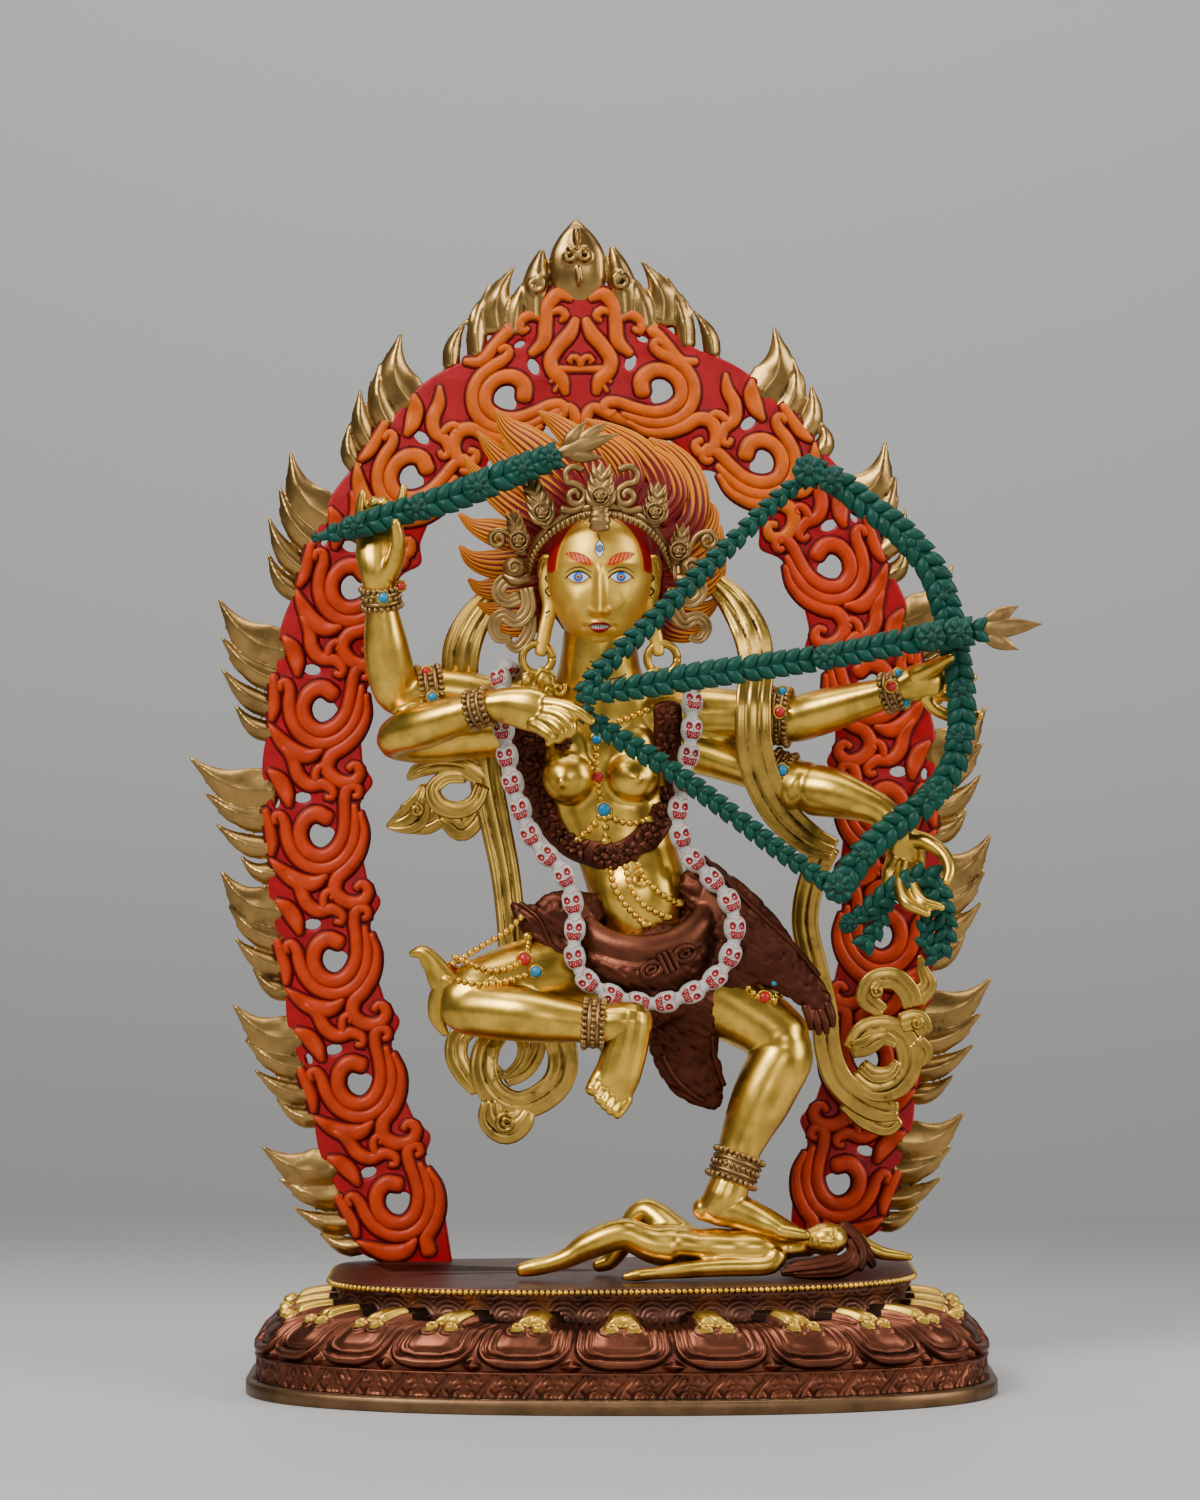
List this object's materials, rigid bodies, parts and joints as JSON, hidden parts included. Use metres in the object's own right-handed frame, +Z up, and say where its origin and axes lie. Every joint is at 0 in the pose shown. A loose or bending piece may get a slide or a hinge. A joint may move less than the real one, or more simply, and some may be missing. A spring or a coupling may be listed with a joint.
{
  "type": "kurukulla statue",
  "caption": "Standing metal statue of a four-armed dancing deity drawing a flower bow, on a lotus plinth with a flame aureole behind.",
  "frame": {"origin": "on the ground under the middle of the plinth's underside", "axes": "+Z up, -Y towards the viewer in front, +X to that viewer's right"},
  "size_m": [0.2521, 0.0964, 0.3494],
  "materials": {
    "copper_brown": "satin, patinated",
    "foot_brass": "satin, patinated",
    "aureole_paint": "semi-gloss",
    "polished_gilt": "polished",
    "antique_gilt": "satin, patinated",
    "hair_paint": "semi-gloss",
    "face_paint": "semi-gloss",
    "white_paint": "matte",
    "green_paint": "semi-gloss",
    "turquoise": "polished",
    "coral": "polished"
  },
  "bodies": {
    "root": {"lotus_plinth": "copper_brown", "flame_aureole": "aureole_paint", "prone_figure": "polished_gilt", "deity_figure": "polished_gilt", "skull_garland": "white_paint", "flower_bow": "green_paint", "flower_arrow": "green_paint", "flower_hook": "green_paint", "flower_noose": "green_paint", "scarf_right": "antique_gilt", "scarf_left": "antique_gilt"}
  },
  "joints": []
}
